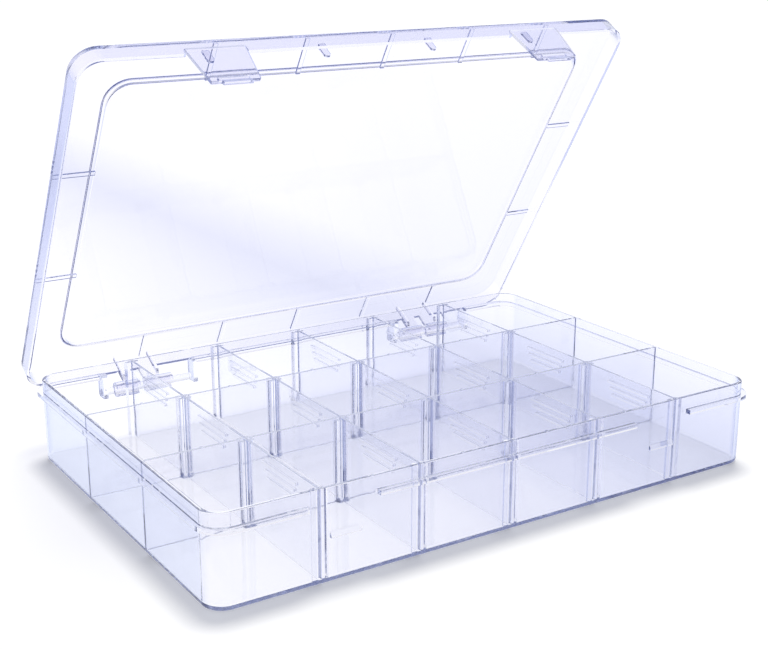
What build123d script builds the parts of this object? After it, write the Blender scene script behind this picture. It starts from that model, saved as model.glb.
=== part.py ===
from build123d import *
import os
from math import radians, tan

# Clear compartment box with a hinged lid: a moulded tray in three rows, a lid held by four
# snap hooks on two moulded pins, two latch tongues and fifteen removable dividers.
# Frame: +X along the rows, -Y is the latch side, +Y is the hinge side, +Z is up.
# The origin is the middle of the tray's underside. Sizes are in millimetres.

# Tray
COLUMNS = 6
ROWS = 3
COLUMN_PITCH = 45.0
END_TRIM = 1.0
ROW_DEPTH = 58.2
WALL = 1.5
ROW_WALL = 1.5
FLOOR = 1.6
INSIDE_HEIGHT = 37.7
TRAY_CORNER = 9.0
TRAY_BOTTOM_EDGE = 1.8
FLOOR_FILLET = 1.0
RIM_EDGE = 0.4

# Slot posts: two ribs with a divider slot between them
SLOT_CLEARANCE = 0.4
POST_RIB = 2.7
POST_RIB_TIP = 1.9
POST_DEPTH = 1.8
POST_DROP = 0.5

# Small pips on top of the long walls and of the front wall. They and the lid's ribs stand a
# little closer together than the columns do.
PIP_PITCH_LESS = 2.6
PIP_FROM_END = 24.5
PIP_COUNT = 5
PIP_RADIUS = 0.7
PIP_HEIGHT = 0.35

# Ledge round the outside, on which the closed lid rests
LEDGE_TOP_BELOW_RIM = 5.6
LEDGE_THICKNESS = 2.0
LEDGE_SIDE = 2.0
LEDGE_FRONT = 2.5
LEDGE_REAR = 3.9
LEDGE_LATCH_CLEARANCE = 2.1
LEDGE_END_ROUND = 0.9

# Latches and their catches on the tray's front wall. Both stand a little to the right of
# their openings in the ledge.
LATCH_FROM_END = 55.0
LATCH_SHIFT = 1.2
CATCH_WIDTH = 13.5
CATCH_REACH = 1.2
CATCH_BELOW_LEDGE = 12.9
CATCH_LIP = 0.8
CATCH_RAMP = 2.0
LATCH_ROOT = 26.8
LATCH_TIP = 21.6
LATCH_THICKNESS = 1.5
LATCH_PROUD = 0.4
LATCH_ABOVE_SKIRT = 3.0
LATCH_BELOW_BAR = 3.3
LATCH_BAR = 1.8
LATCH_BAR_GAP = 0.2
LATCH_BAR_CLEAR = 0.45
LATCH_LIP_WIDTH = 12.8
LATCH_LIP_DROP = 2.2
LATCH_LIP_FLARE = 1.0
LATCH_SIDE_GAP = 0.3
LATCH_WEB_GAP = 0.2
WINDOW_CORNER = 0.5

# Hinge: moulded pins between ears at the rear, snap hooks on the lid. The ears stand a
# little to the right of the hooks.
HINGE_FROM_END = 53.4
EAR = 2.2
EAR_WALL = 0.3
EAR_CLEARANCE = 7.8
EAR_SHIFT = 2.4
PIN_RADIUS = 1.75
PIN_CLEARANCE = 0.08
PIN_BELOW_LEDGE = 9.8
HOOK_WIDTH = 12.5
HOOK_ARM_WIDTH = 7.5
HOOK_GAP = 3.6
HOOK_WALL = 1.77
HOOK_TO_TRAY = 0.95
HOOK_MOUTH_ANGLE = 100.0
HOOK_WEB = 1.4
HOOK_WEB_DEPTH = 2.0

# Lid
LID_SIDE_CLEARANCE = 0.6
LID_FRONT_CLEARANCE = 1.5
LID_REAR_CLEARANCE = 2.9
LID_PLATE = 1.5
LID_SKIRT = 1.5
LID_HEIGHT = 8.5
LID_SEAT_GAP = 0.1
LID_CORNER = 11.0
LID_EDGE = 0.5
PANEL_SIDE_MARGIN = 17.05
PANEL_SHIFT = 1.55
PANEL_FRONT_MARGIN = 18.9
PANEL_REAR_MARGIN = 16.2
PANEL_CORNER = 10.0
PANEL_RISE = 2.2
PANEL_STEP_WALL = 1.2
PANEL_EDGE = 0.8
PANEL_FOOT = 1.0
LID_RIB = 2.0
LID_RIB_DEPTH = 0.8
LID_RIB_COUNT = 5
RIB_FROM_END = 60.4
TAB_COLUMNS_APART = 1.2
TAB_COUNT = 4
TAB_WIDTH = 3.2
TAB_LENGTH = 7.2
TAB_THICKNESS = 1.0
TAB_CLEARANCE = 0.5
OPEN_ANGLE = 58.6

# Dividers
DIVIDER = 1.2
DIVIDER_END_GAP = 0.3
DIVIDER_FLOOR_GAP = 0.1
DIVIDER_CORNER = 1.6
GRIP_COUNT = 3
GRIP_LENGTH = 27.0
GRIP_SHORTENING = 3.0
GRIP_SPACING = 3.0
GRIP_TOP = 4.2
GRIP_WIDTH = 1.1
GRIP_PROUD = 0.4

EMBED = 0.3

# Worked-out places
inner_half_length = COLUMNS * COLUMN_PITCH / 2 - END_TRIM
inner_depth = ROWS * ROW_DEPTH + (ROWS - 1) * ROW_WALL
outer_half_length = inner_half_length + WALL
inner_front = -inner_depth / 2
inner_rear = inner_depth / 2
outer_front = inner_front - WALL
outer_rear = inner_rear + WALL
rim_z = FLOOR + INSIDE_HEIGHT
ledge_top = rim_z - LEDGE_TOP_BELOW_RIM
catch_z = ledge_top - CATCH_BELOW_LEDGE - LEDGE_THICKNESS
hook_radius = PIN_RADIUS + PIN_CLEARANCE + HOOK_WALL
pin_y = outer_rear + HOOK_TO_TRAY + hook_radius
pin_z = ledge_top - PIN_BELOW_LEDGE
lid_front = outer_front - LID_FRONT_CLEARANCE - LID_SKIRT
lid_rear = outer_rear + LID_REAR_CLEARANCE + LID_SKIRT
skirt_z = ledge_top + LID_SEAT_GAP
lid_top = skirt_z + LID_HEIGHT
plate_under = lid_top - LID_PLATE
latch_x = outer_half_length - LATCH_FROM_END
hinge_x = outer_half_length - HINGE_FROM_END
hinge_gap_half = HOOK_WIDTH + HOOK_GAP / 2 + EAR_CLEARANCE
lid_half_length = outer_half_length + LID_SIDE_CLEARANCE + LID_SKIRT
panel_half_length = lid_half_length - PANEL_SIDE_MARGIN
panel_left = PANEL_SHIFT - panel_half_length
panel_right = PANEL_SHIFT + panel_half_length
panel_front = lid_front + PANEL_FRONT_MARGIN
panel_rear = lid_rear - PANEL_REAR_MARGIN
pip_pitch = COLUMN_PITCH - PIP_PITCH_LESS
column_lines = [(i - COLUMNS / 2) * COLUMN_PITCH for i in range(1, COLUMNS)]
row_wall_lines = [inner_front + j * ROW_DEPTH + (j - 0.5) * ROW_WALL for j in range(1, ROWS)]
latch_openings = (-latch_x, latch_x)
latch_places = (LATCH_SHIFT - latch_x, LATCH_SHIFT + latch_x)
hinge_places = (-hinge_x, hinge_x)
ear_places = (EAR_SHIFT - hinge_x, EAR_SHIFT + hinge_x)


def block(x0, x1, y0, y1, z0, z1):
    """A plain block between two corners."""
    middle = ((x0 + x1) / 2, (y0 + y1) / 2, (z0 + z1) / 2)
    return Pos(*middle) * Box(x1 - x0, y1 - y0, z1 - z0)


def rounded_block(half_length, y0, y1, corner, z0, z1):
    """A block with rounded upright corners, centred in X."""
    outline = RectangleRounded(2 * half_length, y1 - y0, corner)
    return Pos(0, (y0 + y1) / 2, z0) * extrude(outline, z1 - z0)


def side_profile(points, x_middle, width):
    """A profile drawn in Y and Z, extruded to a width in X."""
    face = Plane.YZ * make_face(Polyline(*points, close=True))
    return Pos(x_middle - width / 2, 0, 0) * extrude(face, width)


def lowest_edges(solid):
    return solid.edges().group_by(Axis.Z)[0]


def highest_edges(solid):
    return solid.edges().group_by(Axis.Z)[-1]


def post_ribs(x, wall_y, inward):
    """The two tapered ribs that hold a divider's end against a wall face."""
    ribs = []
    for side in (-1, 1):
        near = x + side * (DIVIDER + SLOT_CLEARANCE) / 2
        foot = near + side * POST_RIB
        tip = near + side * POST_RIB_TIP
        tip_y = wall_y + inward * POST_DEPTH
        root_y = wall_y - inward * EMBED
        plan = make_face(Polyline((near, root_y), (foot, root_y), (foot, wall_y), (tip, tip_y),
                                  (near, tip_y), close=True))
        ribs.append(Pos(0, 0, FLOOR - EMBED) * extrude(plan, INSIDE_HEIGHT - POST_DROP + EMBED))
    return ribs


def tray_shell():
    """Floor and outer walls, with a rounded bottom edge and a small fillet round the floor."""
    shell = rounded_block(outer_half_length, outer_front, outer_rear, TRAY_CORNER, 0, rim_z)
    shell = fillet(lowest_edges(shell), TRAY_BOTTOM_EDGE)
    shell = fillet(highest_edges(shell), RIM_EDGE)
    cavity = rounded_block(inner_half_length, inner_front, inner_rear, TRAY_CORNER - WALL, FLOOR, rim_z + 1)
    return shell - fillet(lowest_edges(cavity), FLOOR_FILLET)


def row_walls():
    """The two long fixed walls, with slot posts on both faces."""
    pieces = []
    for y in row_wall_lines:
        half = inner_half_length + EMBED
        pieces.append(block(-half, half, y - ROW_WALL / 2, y + ROW_WALL / 2, FLOOR - EMBED, rim_z))
        for x in column_lines:
            pieces += post_ribs(x, y + ROW_WALL / 2, 1)
            pieces += post_ribs(x, y - ROW_WALL / 2, -1)
    for x in column_lines:
        pieces += post_ribs(x, inner_front, 1)
        pieces += post_ribs(x, inner_rear, -1)
    return pieces


def pips():
    """Small round pips along the tops of the long walls and the front wall."""
    lines = row_wall_lines + [inner_front - WALL / 2]
    start = -inner_half_length + PIP_FROM_END
    places = [(start + k * pip_pitch, y) for y in lines for k in range(PIP_COUNT)]
    return [Pos(x, y, rim_z - EMBED) * extrude(Circle(PIP_RADIUS), PIP_HEIGHT + EMBED) for x, y in places]


def ledge():
    """The ledge round the walls, left open at the latches and at the hinges."""
    half = outer_half_length + LEDGE_SIDE
    front = outer_front - LEDGE_FRONT
    rear = outer_rear + LEDGE_REAR
    plan = Pos(0, (front + rear) / 2) * RectangleRounded(2 * half, rear - front, TRAY_CORNER + LEDGE_SIDE)
    inner = RectangleRounded(2 * (outer_half_length - EMBED), outer_rear - outer_front - 2 * EMBED,
                             TRAY_CORNER - EMBED)
    ring = plan - inner
    front_gap = LATCH_ROOT / 2 + LEDGE_LATCH_CLEARANCE
    for x in latch_openings:
        cut = RectangleRounded(2 * front_gap, 2 * LEDGE_FRONT, LEDGE_END_ROUND)
        ring -= Pos(x, front) * cut
    for x in ear_places:
        ring -= Pos(x, rear) * Rectangle(2 * hinge_gap_half, 2 * LEDGE_REAR)
    return Pos(0, 0, ledge_top - LEDGE_THICKNESS) * extrude(ring, LEDGE_THICKNESS)


def catches():
    """Wedge-shaped catches under the latch bars: flat below, ramped above."""
    tip = outer_front - CATCH_REACH
    profile = [(outer_front + EMBED, catch_z), (tip, catch_z), (tip, catch_z + CATCH_LIP),
               (outer_front + EMBED, catch_z + CATCH_LIP + CATCH_RAMP)]
    return [side_profile(profile, x, CATCH_WIDTH) for x in latch_places]


def hinge_ears():
    """Two ears at each hinge, with the pin moulded across between them."""
    boss = PIN_RADIUS + EAR_WALL
    ledge_edge = outer_rear + LEDGE_REAR
    back = pin_y + boss
    outline = Polyline((outer_rear - EMBED, pin_z - boss), (outer_rear - EMBED, ledge_top),
                       (ledge_edge, ledge_top), (back, ledge_top + ledge_edge - back), (back, pin_z),
                       (pin_y, pin_z - boss), close=True)
    side = make_face(outline) + Pos(pin_y, pin_z) * Circle(boss)
    pin = Pos(pin_y, pin_z) * Circle(PIN_RADIUS)
    pieces = []
    for x in ear_places:
        for direction in (-1, 1):
            start = x + direction * hinge_gap_half
            low = start if direction > 0 else start - EAR
            pieces.append(Pos(low, 0, 0) * extrude(Plane.YZ * side, EAR))
        length = 2 * hinge_gap_half + 2 * EMBED
        pieces.append(Pos(x - length / 2, 0, 0) * extrude(Plane.YZ * pin, length))
    return pieces


def build_tray():
    tray = tray_shell()
    for piece in row_walls() + pips() + catches() + hinge_ears():
        tray += piece
    return tray + ledge()


def lid_shell():
    """Skirt and plate, with the middle panel raised by a step."""
    shell = rounded_block(lid_half_length, lid_front, lid_rear, LID_CORNER, skirt_z, lid_top)
    shell = fillet(highest_edges(shell), LID_EDGE)
    grow = PANEL_STEP_WALL
    boss = rounded_block(panel_half_length + grow, panel_front - grow, panel_rear + grow,
                         PANEL_CORNER + grow, lid_top - EMBED, lid_top + PANEL_RISE)
    shell += Pos(PANEL_SHIFT, 0, 0) * fillet(highest_edges(boss), PANEL_EDGE)
    foot = [e for e in shell.edges().filter_by_position(Axis.Z, lid_top - EMBED / 2, lid_top + EMBED / 2)
            if panel_left - 2 * grow < e.center().X < panel_right + 2 * grow
            and panel_front - 2 * grow < e.center().Y < panel_rear + 2 * grow]
    shell = fillet(foot, PANEL_FOOT)
    shell -= rounded_block(lid_half_length - LID_SKIRT, lid_front + LID_SKIRT, lid_rear - LID_SKIRT,
                           LID_CORNER - LID_SKIRT, skirt_z - 1, plate_under)
    recess = rounded_block(panel_half_length, panel_front, panel_rear, PANEL_CORNER, plate_under - 1,
                           plate_under + PANEL_RISE)
    return shell - Pos(PANEL_SHIFT, 0, 0) * recess


def lid_ribs():
    """Low ribs under the plate, from the skirt to the step of the raised panel."""
    low = plate_under - LID_RIB_DEPTH
    high = plate_under + EMBED
    half = LID_RIB / 2
    front = (lid_front + LID_SKIRT - EMBED, panel_front)
    rear = (panel_rear, lid_rear - LID_SKIRT + EMBED)
    ribs = []
    for k in range(LID_RIB_COUNT):
        x = -lid_half_length + RIB_FROM_END + k * pip_pitch
        ribs += [block(x - half, x + half, y0, y1, low, high) for y0, y1 in (front, rear)]
    for y in row_wall_lines:
        end = lid_half_length - LID_SKIRT + EMBED
        ribs.append(block(-end, panel_left, y - half, y + half, low, high))
        ribs.append(block(panel_right, end, y - half, y + half, low, high))
    return ribs


def locating_tabs():
    """Round-ended tabs that drop inside the tray's front wall."""
    straight = TAB_LENGTH - TAB_WIDTH / 2
    outline = Pos(0, plate_under - straight / 2 + EMBED / 2) * Rectangle(TAB_WIDTH, straight + EMBED)
    outline += Pos(0, plate_under - straight) * Circle(TAB_WIDTH / 2)
    near = inner_front + TAB_CLEARANCE
    tabs = []
    for k in range(TAB_COUNT):
        x = (k - (TAB_COUNT - 1) / 2) * TAB_COLUMNS_APART * COLUMN_PITCH
        tab = extrude(Plane.XZ * outline, TAB_THICKNESS)
        tabs.append(Pos(x, near + TAB_THICKNESS, 0) * tab)
    return tabs


def hinge_hooks():
    """Snap hooks that wrap the pins, on arms that hang from the rear skirt, each with a web."""
    reach = 3 * hook_radius
    half_width = reach * tan(radians(HOOK_MOUTH_ANGLE / 2))
    mouth = make_face(Polyline((0, 0), (-half_width, -reach), (half_width, -reach), close=True))
    bore = Circle(PIN_RADIUS + PIN_CLEARANCE)
    skirt_inside = lid_rear - LID_SKIRT
    arm_height = skirt_z + EMBED - pin_z
    arm = Pos(skirt_inside + LID_SKIRT / 2, pin_z + arm_height / 2) * Rectangle(LID_SKIRT, arm_height)
    ring = Pos(pin_y, pin_z) * Circle(hook_radius)
    opening = Pos(pin_y, pin_z) * (bore + mouth)
    web_front = skirt_inside - HOOK_WEB_DEPTH
    web = [(skirt_inside + EMBED, pin_z + hook_radius), (web_front, pin_z + hook_radius + HOOK_WEB_DEPTH),
           (web_front, plate_under + EMBED), (skirt_inside + EMBED, plate_under + EMBED)]
    pieces = []
    for x in hinge_places:
        for side in (-1, 1):
            inner_end = x + side * HOOK_GAP / 2
            for face, width in ((ring - opening, HOOK_WIDTH), (arm + ring - opening, HOOK_ARM_WIDTH)):
                low = min(inner_end, inner_end + side * width)
                pieces.append(Pos(low, 0, 0) * extrude(Plane.YZ * face, width))
            pieces.append(side_profile(web, inner_end + side * (HOOK_ARM_WIDTH - HOOK_WEB / 2), HOOK_WEB))
    return pieces


def latch_window(x):
    """The cut in the front skirt that the latch's root stands in."""
    half = LATCH_ROOT / 2 + LATCH_SIDE_GAP
    top = skirt_z + LATCH_ABOVE_SKIRT + LATCH_WEB_GAP
    cut = block(x - half, x + half, lid_front - 1, lid_front + LID_SKIRT, skirt_z - 1, top)
    corners = cut.edges().filter_by(Axis.Y).group_by(Axis.Z)[-1]
    return fillet(corners, WINDOW_CORNER)


def build_lid():
    lid = lid_shell()
    for piece in lid_ribs() + locating_tabs() + hinge_hooks():
        lid += piece
    for x in latch_places:
        lid -= latch_window(x)
    return lid


def build_latch(x):
    """A tapered tongue with a hook bar inside its lower edge and a flared pull lip."""
    front = lid_front - LATCH_PROUD
    back = front + LATCH_THICKNESS
    top = skirt_z + LATCH_ABOVE_SKIRT
    bar_top = catch_z - LATCH_BAR_GAP
    low = bar_top - LATCH_BELOW_BAR
    outline = make_face(Polyline((-LATCH_ROOT / 2, top), (LATCH_ROOT / 2, top), (LATCH_TIP / 2, low),
                                 (-LATCH_TIP / 2, low), close=True))
    outline = fillet(outline.vertices(), WINDOW_CORNER)
    tongue = Pos(x, back, 0) * extrude(Plane.XZ * outline, LATCH_THICKNESS)
    bar_back = outer_front - LATCH_BAR_CLEAR
    bar = [(back - EMBED, bar_top - LATCH_BAR), (bar_back - LATCH_BAR / 2, bar_top - LATCH_BAR),
           (bar_back, bar_top - LATCH_BAR / 2), (bar_back, bar_top), (back - EMBED, bar_top)]
    lip = [(front, low + EMBED), (front - LATCH_LIP_FLARE, low - LATCH_LIP_DROP),
           (back - LATCH_LIP_FLARE, low - LATCH_LIP_DROP), (back, low + EMBED)]
    return tongue + side_profile(bar, x, CATCH_WIDTH) + side_profile(lip, x, LATCH_LIP_WIDTH)


def opened(piece):
    """Turn a closed piece about the hinge pins to the open rest position."""
    return piece.rotate(Axis((0, pin_y, pin_z), (1, 0, 0)), -OPEN_ANGLE)


def build_divider(x, row):
    """A cross panel with cut lower corners and grip ribs on both faces."""
    y0 = inner_front + row * (ROW_DEPTH + ROW_WALL) + DIVIDER_END_GAP
    y1 = y0 + ROW_DEPTH - 2 * DIVIDER_END_GAP
    low = FLOOR + DIVIDER_FLOOR_GAP
    cut = DIVIDER_CORNER
    outline = [(y0 + cut, low), (y1 - cut, low), (y1, low + cut), (y1, rim_z), (y0, rim_z), (y0, low + cut)]
    panel = side_profile(outline, x, DIVIDER)
    for k in range(GRIP_COUNT):
        length = GRIP_LENGTH - k * GRIP_SHORTENING
        z = rim_z - GRIP_TOP - k * GRIP_SPACING
        grip = extrude(Plane.YZ * Rectangle(length, GRIP_WIDTH), DIVIDER + 2 * GRIP_PROUD)
        panel += Pos(x - DIVIDER / 2 - GRIP_PROUD, (y0 + y1) / 2, z) * grip
    return panel


os.makedirs("parts", exist_ok=True)
export_step(build_tray(), "parts/tray.step")
export_step(opened(build_lid()), "parts/lid.step")
for side, place in zip(("left", "right"), latch_places):
    export_step(opened(build_latch(place)), f"parts/latch_{side}.step")
for row in range(ROWS):
    for column, line in enumerate(column_lines, start=1):
        export_step(build_divider(line, row), f"parts/divider_{row + 1}{column}.step")
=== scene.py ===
import math
import bpy
from mathutils import Matrix, Vector

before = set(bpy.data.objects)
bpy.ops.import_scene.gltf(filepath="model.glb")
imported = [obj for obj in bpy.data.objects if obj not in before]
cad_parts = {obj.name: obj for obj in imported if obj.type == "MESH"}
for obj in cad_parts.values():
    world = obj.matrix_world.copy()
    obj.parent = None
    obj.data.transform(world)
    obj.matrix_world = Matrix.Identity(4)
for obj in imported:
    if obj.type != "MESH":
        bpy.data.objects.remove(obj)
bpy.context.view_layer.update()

bpy.ops.object.select_all(action="DESELECT")

# Camera. A product shot from the front left and a little above, with the long lens that the
# nearly parallel edges of the box ask for.
EYE = Vector((-0.3197, -0.4924, 0.2431))
LOOK_TURN = math.radians(-32.643)
LOOK_DOWN = math.radians(16.899)
LOOK_ROLL = math.radians(0.052)
camera_data = bpy.data.cameras.new("camera")
camera_data.sensor_width = 36.0
camera_data.sensor_fit = "HORIZONTAL"
camera_data.lens = 63.81
camera_data.clip_start = 0.01
camera = bpy.data.objects.new("camera", camera_data)
bpy.context.scene.collection.objects.link(camera)
camera.matrix_world = (Matrix.Translation(EYE) @ Matrix.Rotation(LOOK_TURN, 4, "Z")
                       @ Matrix.Rotation(math.radians(90) - LOOK_DOWN, 4, "X")
                       @ Matrix.Rotation(LOOK_ROLL, 4, "Z"))
bpy.context.scene.camera = camera
bpy.context.scene.view_settings.view_transform = "Standard"


# Studio room. A light tent, white round the horizon and periwinkle grey at its open top, so that
# clear plastic stays clear and only its edges and curves pick up a darker tone. It lights matt
# surfaces only softly, because the lamp does most of that.
def linear(hex_colour):
    """An sRGB hex colour as linear numbers with alpha."""
    parts = [int(hex_colour[i:i + 2], 16) / 255 for i in (0, 2, 4)]
    return [p / 12.92 if p <= 0.04045 else ((p + 0.055) / 1.055) ** 2.4 for p in parts] + [1.0]


def add_node(material, kind, settings=None, inputs=None, links=None):
    """Adds one node with its settings, input values and incoming links."""
    node = material.node_tree.nodes.new(kind)
    for key, value in (settings or {}).items():
        setattr(node, key, value)
    for key, value in (inputs or {}).items():
        node.inputs[key].default_value = value
    for key, source in (links or {}).items():
        material.node_tree.links.new(source, node.inputs[key])
    return node


def shown_by_ray(material, to_camera, to_clear, to_rest):
    """One look for the camera, one for rays in or off clear plastic, and one for all other rays."""
    path = add_node(material, "ShaderNodeLightPath")
    clear_ray = add_node(material, "ShaderNodeMath", {"operation": "MAXIMUM"},
                         links={0: path.outputs["Is Glossy Ray"], 1: path.outputs["Is Transmission Ray"]})
    indirect = add_node(material, "ShaderNodeMixShader",
                        links={0: clear_ray.outputs[0], 1: to_rest.outputs[0], 2: to_clear.outputs[0]})
    return add_node(material, "ShaderNodeMixShader",
                    links={0: path.outputs["Is Camera Ray"], 1: indirect.outputs[0], 2: to_camera.outputs[0]})


ROOM_LIGHT = 0.25
ROOM_WHITE = "F4F6FA"
ROOM_TOP = "7A84B4"
TOP_STARTS, TOP_FULL = 0.4, 0.9
room = bpy.data.worlds.new("light tent")
bpy.context.scene.world = room
room.use_nodes = True
room.node_tree.nodes.clear()
direction = add_node(room, "ShaderNodeTexCoord")
height = add_node(room, "ShaderNodeSeparateXYZ", links={0: direction.outputs["Generated"]})
overhead = add_node(room, "ShaderNodeMapRange", {"interpolation_type": "SMOOTHSTEP"},
                    {"From Min": TOP_STARTS, "From Max": TOP_FULL}, {"Value": height.outputs["Z"]})
tent = add_node(room, "ShaderNodeMix", {"data_type": "RGBA"}, {"A": (1, 1, 1, 1), "B": linear(ROOM_TOP)},
                {"Factor": overhead.outputs[0]})
seen_room = add_node(room, "ShaderNodeBackground", inputs={"Strength": 1.0},
                     links={"Color": tent.outputs[2]})
lit_room = add_node(room, "ShaderNodeBackground", inputs={"Color": linear(ROOM_WHITE), "Strength": ROOM_LIGHT})
white_room = add_node(room, "ShaderNodeBackground", inputs={"Color": (1, 1, 1, 1), "Strength": 1.0})
behind = shown_by_ray(room, to_camera=white_room, to_clear=seen_room, to_rest=lit_room)
add_node(room, "ShaderNodeOutputWorld", links={"Surface": behind.outputs[0]})

# Floor. A wide matt white sweep that keeps the shadow of the box. Through the plastic it glows
# white in the middle, with painted shade darker and cooler towards both sides, mostly at the right.
FLOOR_WIDTH = 12.0
FLOOR_DROP = 0.0002
FLOOR_LIFT = 0.24
# Painted shade seen through the plastic: the ramp across x darkens and cools the glowing floor on either side
# of its white middle, most under the tray's right side.
THROUGH_PLASTIC_SHADE_REACH = 0.4
THROUGH_PLASTIC_SHADE = ((0.1, "C4CCE8"), (0.3, "FFFFFF"), (0.36, "FFFFFF"), (0.58, "E4E6F3"), (0.66, "D4D7E6"),
        (0.79, "F0F1FA"))
bpy.ops.mesh.primitive_plane_add(size=FLOOR_WIDTH, location=(0, 0, -FLOOR_DROP))
floor = bpy.context.object
floor.name = "floor"
sweep = bpy.data.materials.new("matt white sweep")
sweep.use_nodes = True
sweep.node_tree.nodes.clear()
matt = add_node(sweep, "ShaderNodeBsdfDiffuse", inputs={"Color": linear("F4F4F6")})
open_glow = add_node(sweep, "ShaderNodeEmission", inputs={"Color": (1, 1, 1, 1), "Strength": FLOOR_LIFT})
open_floor = add_node(sweep, "ShaderNodeAddShader", links={0: matt.outputs[0], 1: open_glow.outputs[0]})
spot = add_node(sweep, "ShaderNodeTexCoord")
along = add_node(sweep, "ShaderNodeSeparateXYZ", links={0: spot.outputs["Object"]})
across = add_node(sweep, "ShaderNodeMapRange", inputs={"From Min": -THROUGH_PLASTIC_SHADE_REACH, "From Max": THROUGH_PLASTIC_SHADE_REACH},
                  links={"Value": along.outputs["X"]})
painted_shade_ramp = add_node(sweep, "ShaderNodeValToRGB", links={"Fac": across.outputs[0]})
stops = painted_shade_ramp.color_ramp.elements
for position, tone in THROUGH_PLASTIC_SHADE:
    stop = stops.new(position)
    stop.color = linear(tone)
stops.remove(stops[-1])  # the two stops that a new ramp has, at its ends
stops.remove(stops[0])
# The glow seen through the plastic takes the painted shade of the ramp.
glass_glow_with_painted_shade = add_node(sweep, "ShaderNodeEmission", inputs={"Strength": 1.0}, links={"Color": painted_shade_ramp.outputs[0]})
glass_matt = add_node(sweep, "ShaderNodeBsdfDiffuse", inputs={"Color": linear("8E8E90")})
glass_floor = add_node(sweep, "ShaderNodeAddShader", links={0: glass_matt.outputs[0], 1: glass_glow_with_painted_shade.outputs[0]})
seen = shown_by_ray(sweep, to_camera=open_floor, to_clear=glass_floor, to_rest=matt)
add_node(sweep, "ShaderNodeOutputMaterial", links={"Surface": seen.outputs[0]})
floor.data.materials.append(sweep)

# Lamp. One wide soft light high at the back right, which drops the soft shadow just in front of
# the left corner. Its own disc isn't mirrored in the plastic.
KEY_STRENGTH = 2.2
KEY_SPREAD = math.radians(18)
KEY_FROM = Vector((0.17, 0.2, 1.0))
lamp_data = bpy.data.lights.new("key", "SUN")
lamp_data.energy = KEY_STRENGTH
lamp_data.angle = KEY_SPREAD
lamp = bpy.data.objects.new("key", lamp_data)
bpy.context.scene.collection.objects.link(lamp)
lamp.visible_glossy = False
lamp.visible_transmission = False
lamp.rotation_euler = (-KEY_FROM).to_track_quat("-Z", "Y").to_euler()

# Light crosses dozens of clear walls and runs along inside them. With fewer bounces it dies
# there, and the edges turn black.
BOUNCES = 200
cycles = bpy.context.scene.cycles
cycles.max_bounces = BOUNCES
cycles.transmission_bounces = BOUNCES
cycles.glossy_bounces = BOUNCES
cycles.transparent_max_bounces = BOUNCES
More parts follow.
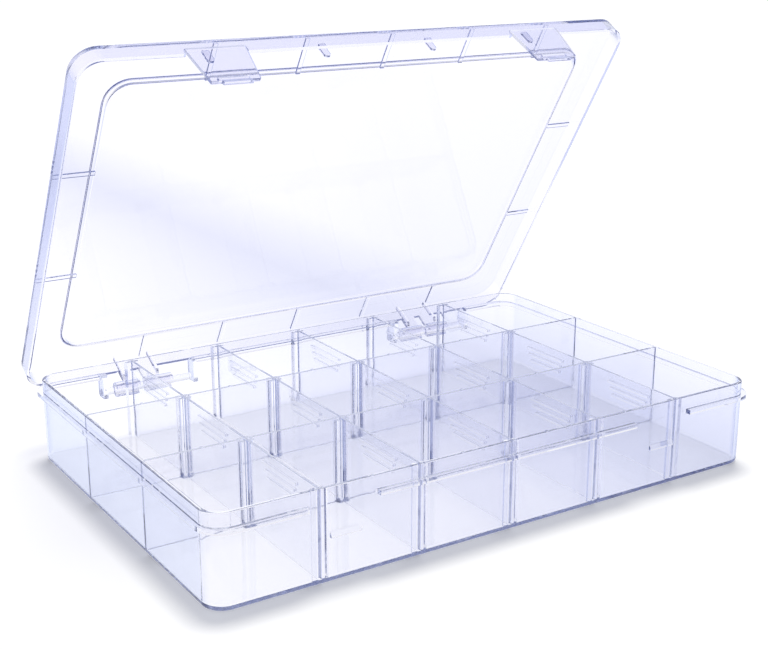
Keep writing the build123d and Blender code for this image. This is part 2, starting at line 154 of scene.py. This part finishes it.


# Tray. One injection moulding of clear polypropylene with thin walls, rounded corners and a
# ledge round its rim. It looks glassy but a little milky, and bluer the more slantwise a wall is
# seen. Part of this comes from the look going through more plastic there, and part is painted shade
# well beyond that. Level faces get less of it, so they are painted lighter. Its edges are the
# bluest, a painted shade along every edge.
def moulded_plastic(name, tint, slant_tint, slant, level_share, painted_edge_shade_tint, ior, gloss, passing_tint, flow_mm):
    """Clear moulded plastic with flow marks and scuffs. slant is the range of Facing in which tint turns to
    slant_tint, partly a longer look through the plastic and partly painted shade. level_share eases it on level
    faces, painting them lighter. The rim tint is painted shade along grazing edges, and passing_tint is what a
    wall takes from the lamp."""
    scuff_mm = 4.0
    wave_height = 0.0002
    smooth, scuffed = 0.02, 0.07
    # Painted edge shade: where the rim tint starts and where it is full.
    edge_shade_starts, edge_shade_full = 0.6, 0.95
    depth_tint, depth_density = "A3B1D9", 12.0
    plastic = bpy.data.materials.new(name)
    plastic.use_nodes = True
    plastic.node_tree.nodes.clear()

    # Flow marks of the moulding wave the surface, and fine scuffs from use dull it in patches.
    place = add_node(plastic, "ShaderNodeTexCoord")
    marks = add_node(plastic, "ShaderNodeTexNoise", inputs={"Scale": 1000 / flow_mm, "Detail": 2.0},
                     links={"Vector": place.outputs["Object"]})
    scuffs = add_node(plastic, "ShaderNodeTexNoise",
                      inputs={"Scale": 1000 / scuff_mm, "Detail": 6.0, "Roughness": 0.7},
                      links={"Vector": place.outputs["Object"]})
    rough = add_node(plastic, "ShaderNodeMapRange",
                     inputs={"From Min": 0.3, "From Max": 0.75, "To Min": smooth, "To Max": scuffed},
                     links={"Value": scuffs.outputs["Fac"]})
    wavy = add_node(plastic, "ShaderNodeBump", inputs={"Strength": 0.3, "Distance": wave_height},
                    links={"Height": marks.outputs["Fac"]})

    # The tint deepens with the slant of the look, first to slant_tint, partly a longer look through the plastic
    # and partly painted shade, and then at grazing edges to the rim tint, a painted shade along the edges.
    facing = add_node(plastic, "ShaderNodeLayerWeight", inputs={"Blend": 0.5})
    upright = add_node(plastic, "ShaderNodeSeparateXYZ", links={0: place.outputs["Normal"]})
    level = add_node(plastic, "ShaderNodeMath", {"operation": "ABSOLUTE"}, links={0: upright.outputs["Z"]})
    lighter = add_node(plastic, "ShaderNodeMath", {"operation": "MULTIPLY"}, {1: level_share},
                       {0: level.outputs[0]})
    slanting = add_node(plastic, "ShaderNodeMath", {"operation": "SUBTRACT"},
                        links={0: facing.outputs["Facing"], 1: lighter.outputs[0]})
    share = add_node(plastic, "ShaderNodeMapRange", inputs={"From Min": slant[0], "From Max": slant[1]},
                     links={"Value": slanting.outputs[0]})
    colour = add_node(plastic, "ShaderNodeMix", {"data_type": "RGBA"},
                      {"A": linear(tint), "B": linear(slant_tint)}, {"Factor": share.outputs[0]})
    # Painted shade along the edges: at grazing slants the colour turns to the rim tint.
    painted_edge_share = add_node(plastic, "ShaderNodeMapRange", {"interpolation_type": "SMOOTHSTEP"},
                       {"From Min": edge_shade_starts, "From Max": edge_shade_full}, {"Value": slanting.outputs[0]})
    with_painted_edge_shade = add_node(plastic, "ShaderNodeMix", {"data_type": "RGBA"}, {"B": linear(painted_edge_shade_tint)},
                     {"Factor": painted_edge_share.outputs[0], "A": colour.outputs[2]})
    body = add_node(plastic, "ShaderNodeBsdfPrincipled",
                    inputs={"IOR": ior, "Transmission Weight": 1.0, "Specular Tint": linear(gloss)},
                    links={"Base Color": with_painted_edge_shade.outputs[2], "Roughness": rough.outputs[0],
                           "Normal": wavy.outputs[0]})

    # Light for the floor and the shadow passes straight through, a little dimmed.
    passing = add_node(plastic, "ShaderNodeBsdfTransparent", inputs={"Color": linear(passing_tint)})
    path = add_node(plastic, "ShaderNodeLightPath")
    soft_light = add_node(plastic, "ShaderNodeMixShader",
                          links={0: path.outputs["Is Diffuse Ray"], 1: body.outputs[0], 2: passing.outputs[0]})
    surface = add_node(plastic, "ShaderNodeMixShader",
                       links={0: path.outputs["Is Shadow Ray"], 1: soft_light.outputs[0],
                              2: passing.outputs[0]})
    depth = add_node(plastic, "ShaderNodeVolumeAbsorption",
                     inputs={"Color": linear(depth_tint), "Density": depth_density})
    add_node(plastic, "ShaderNodeOutputMaterial",
             links={"Surface": surface.outputs[0], "Volume": depth.outputs[0]})
    return plastic


def finish_node(name, material):
    """Gives a CAD node's material slots one finish."""
    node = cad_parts[name]
    if not node.material_slots:
        node.data.materials.append(material)
    for socket in node.material_slots:
        socket.material = material


tray_plastic = moulded_plastic(
    "clear moulded polypropylene tray", tint="FBFBFE", slant_tint="B4C1E6", slant=(0.25, 0.75),
    level_share=0.35, painted_edge_shade_tint="8E9DD0", ior=1.49, gloss="FFFFFF", passing_tint="C9CBD3", flow_mm=14.0)
finish_node("tray", tray_plastic)

# Dividers. Fifteen loose plates of clear polystyrene with moulded grip ribs, each dropped into a
# pair of slots. Harder and glassier than the tray, with sharper glints and less blue: a paler slant
# tint, partly painted shade, and a paler painted shade along the edges.
divider_plastic = moulded_plastic(
    "clear polystyrene divider", tint="FBFBFE", slant_tint="EEF1F8", slant=(0.22, 0.7),
    level_share=0.0, painted_edge_shade_tint="A4B0DA", ior=1.55, gloss="FFFFFF", passing_tint="F0F1F5", flow_mm=9.0)
for row in (1, 2, 3):
    for place_in_row in range(1, 6):
        finish_node(f"divider_{row}{place_in_row}", divider_plastic)

# Lid. A stepped shell of the same clear polypropylene, moulded with its ribs, snap hooks and
# latches. Its thin panel shines less than the tray, and turns blue only when seen near its edge.
# Part of that blue comes from the longer look through the plastic and part is painted shade, with painted shade
# along the edges.
lid_plastic = moulded_plastic(
    "clear moulded polypropylene lid", tint="F8F7FC", slant_tint="94A4D8", slant=(0.35, 0.9),
    level_share=0.0, painted_edge_shade_tint="929FD0", ior=1.44, gloss="B4B4BC", passing_tint="F8F8FB", flow_mm=18.0)
for name in ("lid", "latch_left", "latch_right"):
    finish_node(name, lid_plastic)
